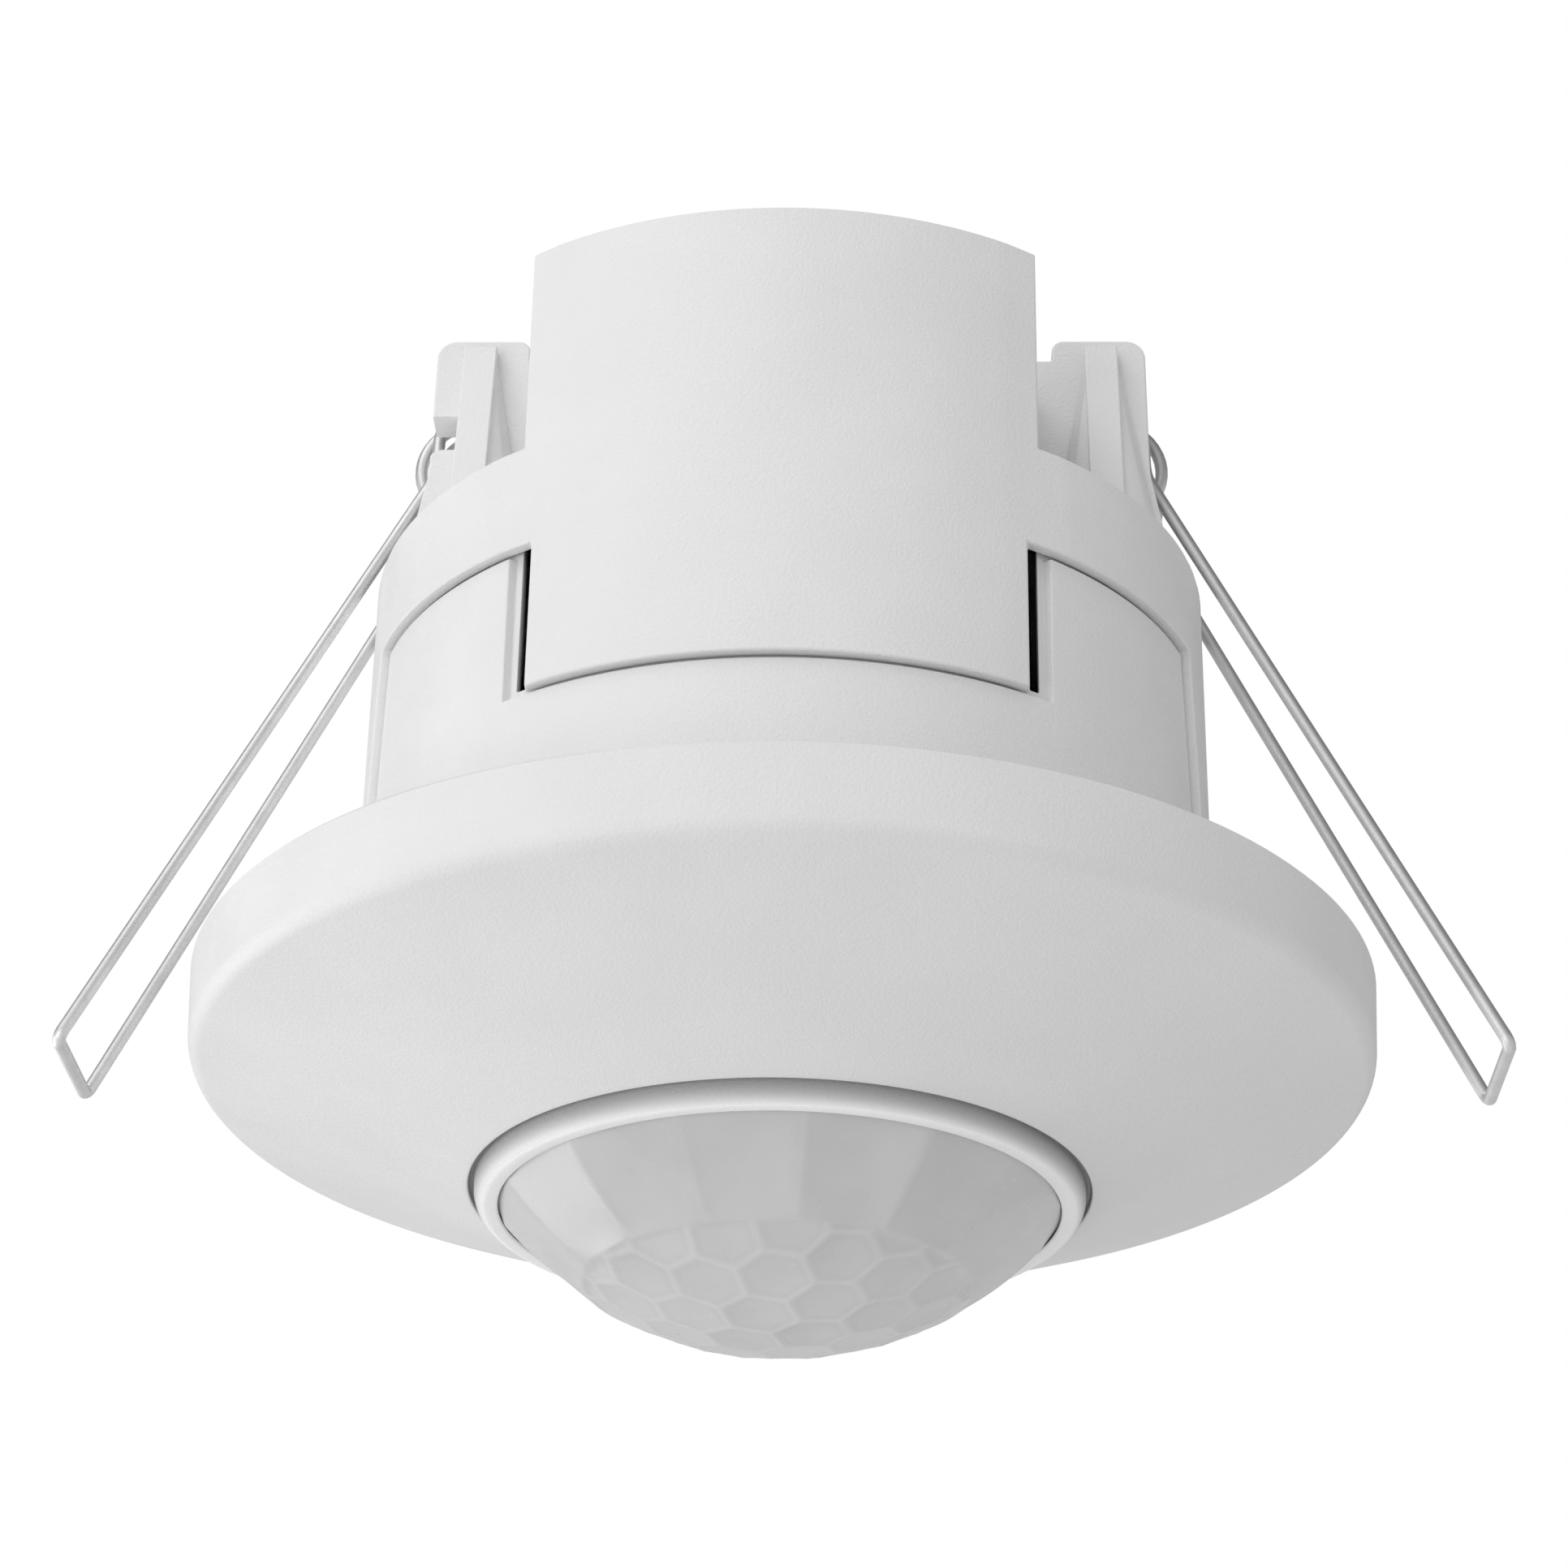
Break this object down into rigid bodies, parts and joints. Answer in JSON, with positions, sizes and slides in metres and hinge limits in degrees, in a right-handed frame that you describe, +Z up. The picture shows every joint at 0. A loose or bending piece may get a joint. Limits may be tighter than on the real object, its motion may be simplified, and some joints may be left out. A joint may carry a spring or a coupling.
{
  "type": "ceiling motion sensor",
  "caption": "Round recessed ceiling motion sensor: trim plate with domed lens, drum housing, rear cable box and sprung wire bails that clamp it in a ceiling cut-out.",
  "frame": {"origin": "on the sensor's upright axis, in the plane where the flange meets the ceiling's room face", "axes": "+Z up into the ceiling, so the lens looks along -Z; the spring bails are on +X and -X"},
  "size_m": [0.0974, 0.08, 0.0731],
  "materials": {
    "white_moulding": "fine-grained satin white moulding",
    "milky_lens": "milky translucent polyethylene, smooth outside with lens facets",
    "spring_steel": "bright drawn spring wire",
    "screw_steel": "zinc-plated screws",
    "tinned_can": "tin-plated sensor can",
    "filter_window": "dark infrared filter",
    "led_epoxy": "clear green epoxy",
    "circuit_board": "green solder mask",
    "black_moulding": "matt black component moulding",
    "capacitor_sleeve": "dark shrink sleeve",
    "capacitor_box": "yellow capacitor case",
    "blue_coating": "blue epoxy coating",
    "grey_moulding": "grey moulding",
    "nylon": "natural nylon",
    "grommet_rubber": "soft grey rubber"
  },
  "bodies": {
    "detector": {"housing": "white_moulding", "rear_cover": "white_moulding", "front_plate": "white_moulding", "lens_retainer": "white_moulding", "right_spring_pin": "white_moulding", "left_spring_pin": "white_moulding", "fresnel_lens": "milky_lens", "right_spring_tail": "spring_steel", "left_spring_tail": "spring_steel", "front_screw_1": "screw_steel", "front_screw_2": "screw_steel", "front_screw_3": "screw_steel", "cover_screw_1": "screw_steel", "cover_screw_2": "screw_steel", "board_screw_1": "screw_steel", "board_screw_2": "screw_steel", "board_screw_3": "screw_steel", "terminal_screw_1": "screw_steel", "terminal_screw_2": "screw_steel", "terminal_screw_3": "screw_steel", "terminal_screw_4": "screw_steel", "pyro_sensor": "tinned_can", "pyro_window": "filter_window", "light_sensor": "filter_window", "status_led": "led_epoxy", "sensor_board": "circuit_board", "power_board": "circuit_board", "microcontroller": "black_moulding", "relay": "black_moulding", "bridge_rectifier": "black_moulding", "board_header": "black_moulding", "choke": "black_moulding", "electrolytic_capacitor": "capacitor_sleeve", "film_capacitor": "capacitor_box", "varistor": "blue_coating", "time_pot": "blue_coating", "light_pot": "blue_coating", "terminal_block": "grey_moulding", "fuse": "grey_moulding", "board_spacer_1": "nylon", "board_spacer_2": "nylon", "board_spacer_3": "nylon", "cable_grommet": "grommet_rubber"},
    "trim": {"trim_plate": "white_moulding"},
    "right_arm": {"right_clip_spring": "spring_steel"},
    "left_arm": {"left_clip_spring": "spring_steel"},
    "time_knob": {"time_dial": "nylon"},
    "light_knob": {"light_dial": "nylon"}
  },
  "joints": [
    {"name": "right_arm_fold", "type": "hinge", "parent": "detector", "child": "right_arm", "pos_m": [0.0225, 0, 0.0415], "axis": [0, -1, 0], "range_deg": [0, 150], "stiffness_Nm_per_rad": 0.02, "springref_deg": -28.65},
    {"name": "left_arm_fold", "type": "hinge", "parent": "detector", "child": "left_arm", "pos_m": [-0.0225, 0, 0.0415], "axis": [0, 1, 0], "range_deg": [0, 150], "stiffness_Nm_per_rad": 0.02, "springref_deg": -28.65},
    {"name": "time_dial_turn", "type": "hinge", "parent": "detector", "child": "time_knob", "pos_m": [-0.01754, -0.01754, -0.0069], "axis": [0, 0, -1], "range_deg": [-135, 135]},
    {"name": "light_dial_turn", "type": "hinge", "parent": "detector", "child": "light_knob", "pos_m": [0.01754, -0.01754, -0.0069], "axis": [0, 0, -1], "range_deg": [-135, 135]},
    {"name": "trim_pull", "type": "slide", "parent": "detector", "child": "trim", "axis": [0, 0, -1], "range_m": [0, 0.01]}
  ]
}
